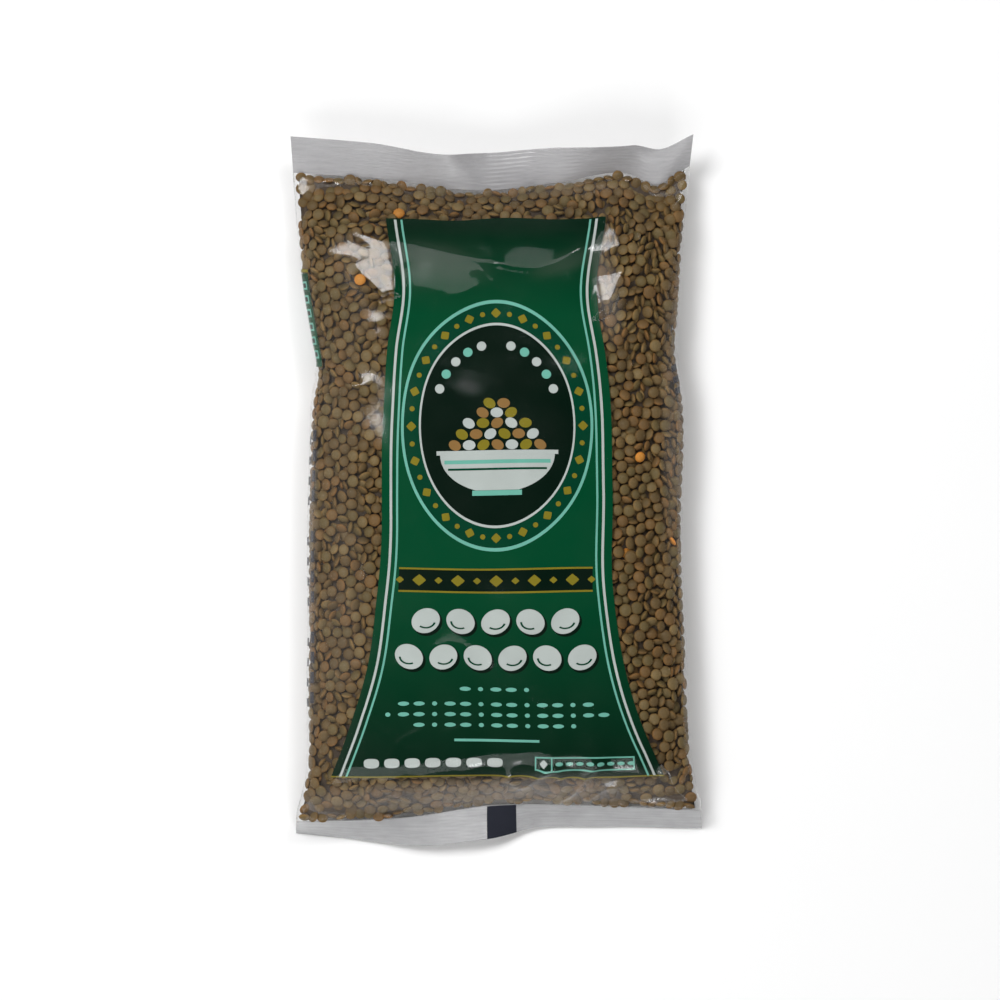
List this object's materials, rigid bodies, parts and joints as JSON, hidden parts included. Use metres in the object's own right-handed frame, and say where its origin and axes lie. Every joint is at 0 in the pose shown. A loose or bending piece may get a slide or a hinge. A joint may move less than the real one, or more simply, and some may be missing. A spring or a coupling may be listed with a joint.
{
  "type": "sealed clear bag of dry brown lentils",
  "caption": "Clear pillow bag filled with dry brown lentils, crimped shut at both ends, lying on its back with its printed front up.",
  "frame": {"origin": "under the middle of the bag's box, on the surface that the bag lies on", "axes": "+Z out of the printed front, +Y towards the top seal, +X to the right as the front is seen"},
  "size_m": [0.1774, 0.3066, 0.0386],
  "materials": {
    "film_over_lentils": "clear glossy film seen over brown lentils",
    "clear_film": "clear glossy film, milky where it is crimped shut",
    "lentils": "dry brown lentils with satin skins",
    "print": "ink behind the film, mostly green"
  },
  "bodies": {
    "root": {"lentil_bag": "film_over_lentils"}
  },
  "joints": []
}
